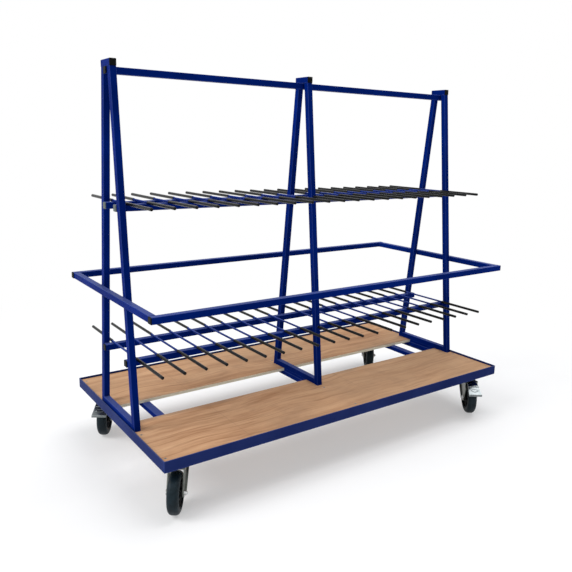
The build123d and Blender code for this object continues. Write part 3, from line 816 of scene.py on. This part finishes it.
def makeScrewHead():
    clearPicks()
    bpy.ops.mesh.primitive_cylinder_add(vertices=screwSet["sides"], radius=screwSet["radius"],
                                        depth=screwSet["depth"])
    head = bpy.context.object
    top = screwSet["depth"] / 2
    pickEdges(head, lambda a, b: a.z > 0.0 and b.z > 0.0)
    bpy.ops.mesh.bevel(offset=screwSet["round"], segments=screwSet["roundSteps"], affect="EDGES")
    clearPicks()
    arms = []
    for turn in (0.0, math.pi / 2):
        bpy.ops.mesh.primitive_cube_add(size=1.0, location=(0.0, 0.0, top), rotation=(0.0, 0.0, turn),
                                        scale=screwSet["cross"])
        arms.append(bpy.context.object)
    for arm in arms:
        cut = head.modifiers.new("cross", "BOOLEAN")
        cut.operation = "DIFFERENCE"
        cut.object = arm
        pickPiece(head)
        bpy.ops.object.modifier_apply(modifier=cut.name)
        dropShape(arm)
    head.data.materials.clear()
    for finish in ("zincDull", "hubDark"):
        head.data.materials.append(finishes[finish])
    bottom = top - screwSet["cross"][2] / 2
    for face in head.data.polygons:     # painted shade in the recess: its bottom faces take the dark hub finish
        face.material_index = 1 if math.isclose(face.center.z, bottom, abs_tol=screwSet["near"]) else 0
    return endShape(head, "screwHead", screwSet["smooth"])


screwHead = makeScrewHead()
screwHeads = []
for index, x in enumerate((-screwSet["along"], 0.0, screwSet["along"])):
    for side in (-1, 1):
        for row, y in enumerate(screwSet["across"]):
            turns = [turn * by for turn, by in zip(screwSet["turns"], (index, row, side))]
            spin = Matrix.Rotation(sum(turns), 4, "Z")
            rise = deckTop + screwSet["proud"] - screwSet["depth"] / 2
            screwHeads.append(copyTo(screwHead, Matrix.Translation((x, midY + side * y, rise)) @ spin))
joinCopies(screwHeads, "screwHeads", "frame", None)
dropShape(screwHead)
print("screw heads set")

# casters: each is worked in its own frame, x the way it trails, y along the axle, z up from the floor
casterNames = ("front_left", "rear_left", "front_right", "rear_right")
brakeNames = ("rear_left", "front_right")
hinges = {joint["name"]: joint for joint in frame["joints"]}
casterSet = {
    "trail": 0.058,
    "axle": 0.09,
    "forkHalf": 0.036,
    "boltX": 0.0525,
    "boltY": 0.040,
    "nutBottom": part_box("caster_bolts")[0][2],
}


def casterFrame(name):
    stem = Vector(hinges[name + "_swivel_hinge"]["pos_m"])
    wheel = Vector(hinges[name + "_wheel_hinge"]["pos_m"])
    trail = (wheel - stem).xy.normalized()
    return Matrix(((trail.x, -trail.y, 0.0, stem.x), (trail.y, trail.x, 0.0, stem.y),
                   (0.0, 0.0, 1.0, 0.0), (0.0, 0.0, 0.0, 1.0)))


casterFrames = {name: casterFrame(name) for name in casterNames}
wheelMiddle = Matrix.Translation((casterSet["trail"], 0.0, casterSet["axle"]))

ribSet = {
    "inside": 0.0192,
    "outside": 0.0585,
    "thick": 0.0048,
    "web": 0.0055,
    "rimEdge": 0.0175,
    "bossEdge": 0.0260,
    "round": 0.0013,
    "roundSteps": 2,
    "smooth": 50.0,
    "count": 6,
    "turn": 0.3,
}


def makeRib():
    clearPicks()
    size = (ribSet["outside"] - ribSet["inside"], ribSet["rimEdge"] - ribSet["web"], ribSet["thick"])
    middle = (ribSet["inside"] + size[0] / 2, ribSet["web"] + size[1] / 2, 0.0)
    bpy.ops.mesh.primitive_cube_add(size=1.0, scale=size, location=middle)
    rib = bpy.context.object
    bpy.ops.object.transform_apply(location=True, rotation=True, scale=True)
    pickVerts(rib, lambda spot: spot.x < middle[0] and spot.y > middle[1])
    bpy.ops.transform.translate(value=(0.0, ribSet["bossEdge"] - ribSet["rimEdge"], 0.0))
    pickEdges(rib, lambda a, b: min(a.y, b.y) > middle[1] and a.z * b.z > 0.0)
    bpy.ops.mesh.bevel(offset=ribSet["round"], segments=ribSet["roundSteps"], affect="EDGES")
    return endShape(rib, "hubRib", ribSet["smooth"])


sidewallSet = {"radius": 0.0685, "wire": 0.0018, "steps": (64, 6), "flat": 0.5, "halfWidth": 0.0249}


def makeSidewallRing():
    ring = addRing(sidewallSet["steps"], sidewallSet["radius"], sidewallSet["wire"], math.pi / 2)
    pickAll(ring)
    scalePicked(1.0, sidewallSet["flat"], 1.0)
    return endShape(ring, "sidewallRing")


hubRib, sidewallRing = makeRib(), makeSidewallRing()
for name in casterNames:
    ribs = []
    for side in (0.0, math.pi):
        flip = Matrix.Rotation(side, 4, "X")
        for i in range(ribSet["count"]):
            turn = Matrix.Rotation(2 * math.pi * i / ribSet["count"] + ribSet["turn"], 4, "Y")
            ribs.append(copyTo(hubRib, casterFrames[name] @ wheelMiddle @ turn @ flip))
    joinCopies(ribs, name + "_hubRibs", name + "_wheel", "hubDark")
    rings = []
    for side in (-1, 1):
        wall = Matrix.Translation((0.0, side * sidewallSet["halfWidth"], 0.0))
        rings.append(copyTo(sidewallRing, casterFrames[name] @ wheelMiddle @ wall))
    joinCopies(rings, name + "_sidewallRings", name + "_wheel", "tyreBlack")
dropShape(hubRib)
dropShape(sidewallRing)
print("wheels ribbed")

# swivel cups round the ball races, bolt tips under the plate nuts, washers on the axles
cupSet = {
    "sides": 48,
    "smooth": 45.0,
    "start": (0.0438, 0.2065),              # radius and height, then of each loop below
    "loops": [(0.0462, 0.2060), (0.0476, 0.2035), (0.0476, 0.1985), (0.0462, 0.1955), (0.0438, 0.1945)],
}


def makeCup():
    clearPicks()
    radius, height = cupSet["start"]
    bpy.ops.mesh.primitive_circle_add(vertices=cupSet["sides"], radius=radius, location=(0.0, 0.0, height))
    cup = bpy.context.object
    bpy.ops.object.transform_apply(location=True, rotation=True, scale=True)
    pickAll(cup)
    for nextRadius, nextHeight in cupSet["loops"]:
        bpy.ops.mesh.extrude_region_move(TRANSFORM_OT_translate={"value": (0.0, 0.0, nextHeight - height)})
        scalePicked(nextRadius / radius, nextRadius / radius, 1.0)
        radius, height = nextRadius, nextHeight
    bpy.ops.mesh.select_all(action="SELECT")
    bpy.ops.mesh.normals_make_consistent(inside=False)
    return endShape(cup, "swivelCup", cupSet["smooth"])


tipSet = {"radius": 0.0046, "thick": 0.0026, "round": 0.0008}
washerSet = {"radius": 0.0128, "thick": 0.0014, "round": 0.0004}
discSet = {"sides": 32, "roundSteps": 2, "smooth": 40.0}


def makeDisc(name, sizes):
    clearPicks()
    bpy.ops.mesh.primitive_cylinder_add(vertices=discSet["sides"], radius=sizes["radius"],
                                        depth=sizes["thick"])
    disc = bpy.context.object
    pickEdges(disc, lambda a, b: a.z * b.z > 0.0)
    bpy.ops.mesh.bevel(offset=sizes["round"], segments=discSet["roundSteps"], affect="EDGES")
    return endShape(disc, name, discSet["smooth"])


swivelCup = makeCup()
boltTip = makeDisc("boltTip", tipSet)
axleWasher = makeDisc("axleWasher", washerSet)
layFlat = Matrix.Rotation(math.pi / 2, 4, "X")
washerOut = casterSet["forkHalf"] + washerSet["thick"] / 2
cups, tips = [], []
for name in casterNames:
    stem = casterFrames[name].translation
    cups.append(copyTo(swivelCup, Matrix.Translation(stem)))
    for i in (-1, 1):
        for j in (-1, 1):
            place = (stem.x + i * casterSet["boltX"], stem.y + j * casterSet["boltY"],
                     casterSet["nutBottom"] - tipSet["thick"] / 2)
            tips.append(copyTo(boltTip, Matrix.Translation(place)))
    washers = []
    for side in (-1, 1):
        cheek = Matrix.Translation((0.0, side * washerOut, 0.0))
        washers.append(copyTo(axleWasher, casterFrames[name] @ wheelMiddle @ cheek @ layFlat))
    joinCopies(washers, name + "_axleWashers", name + "_swivel", "zincBright")
joinCopies(cups, "swivelCups", "frame", "zincSteel")
joinCopies(tips, "boltTips", "frame", "zincBright")
for shape in (swivelCup, boltTip, axleWasher):
    dropShape(shape)
print("caster fittings set")

# pressed oval on each pedal's tread
ovalSet = {
    "bend": (0.122, 0.187),     # the tread runs from its bend to its tip
    "tip": (0.184, 0.155),
    "share": 0.56,
    "half": (0.0085, 0.0190),
    "wire": 0.0026,
    "steps": (48, 8),
    "flat": 0.9,
    "cut": -0.0006,             # what lies below is sunk in the tread
}


def makeOval():
    short, long = ovalSet["half"]
    oval = addRing(ovalSet["steps"], long, ovalSet["wire"])
    pickAll(oval)
    scalePicked(short / long, 1.0, ovalSet["flat"])
    bpy.ops.mesh.bisect(plane_co=(0.0, 0.0, ovalSet["cut"]), plane_no=(0.0, 0.0, 1.0), clear_inner=True)
    return endShape(oval, "treadOval")


treadOval = makeOval()
bend, tip = [Vector((ovalSet[end][0], 0.0, ovalSet[end][1])) for end in ("bend", "tip")]
slope = math.atan2(bend.z - tip.z, tip.x - bend.x)
for name in brakeNames:
    seat = Matrix.Translation(bend.lerp(tip, ovalSet["share"])) @ Matrix.Rotation(slope, 4, "Y")
    oval = copyTo(treadOval, casterFrames[name] @ seat)
    joinCopies([oval], name + "_treadOval", name + "_brake", "zincPedal")
dropShape(treadOval)
print("pedals pressed")
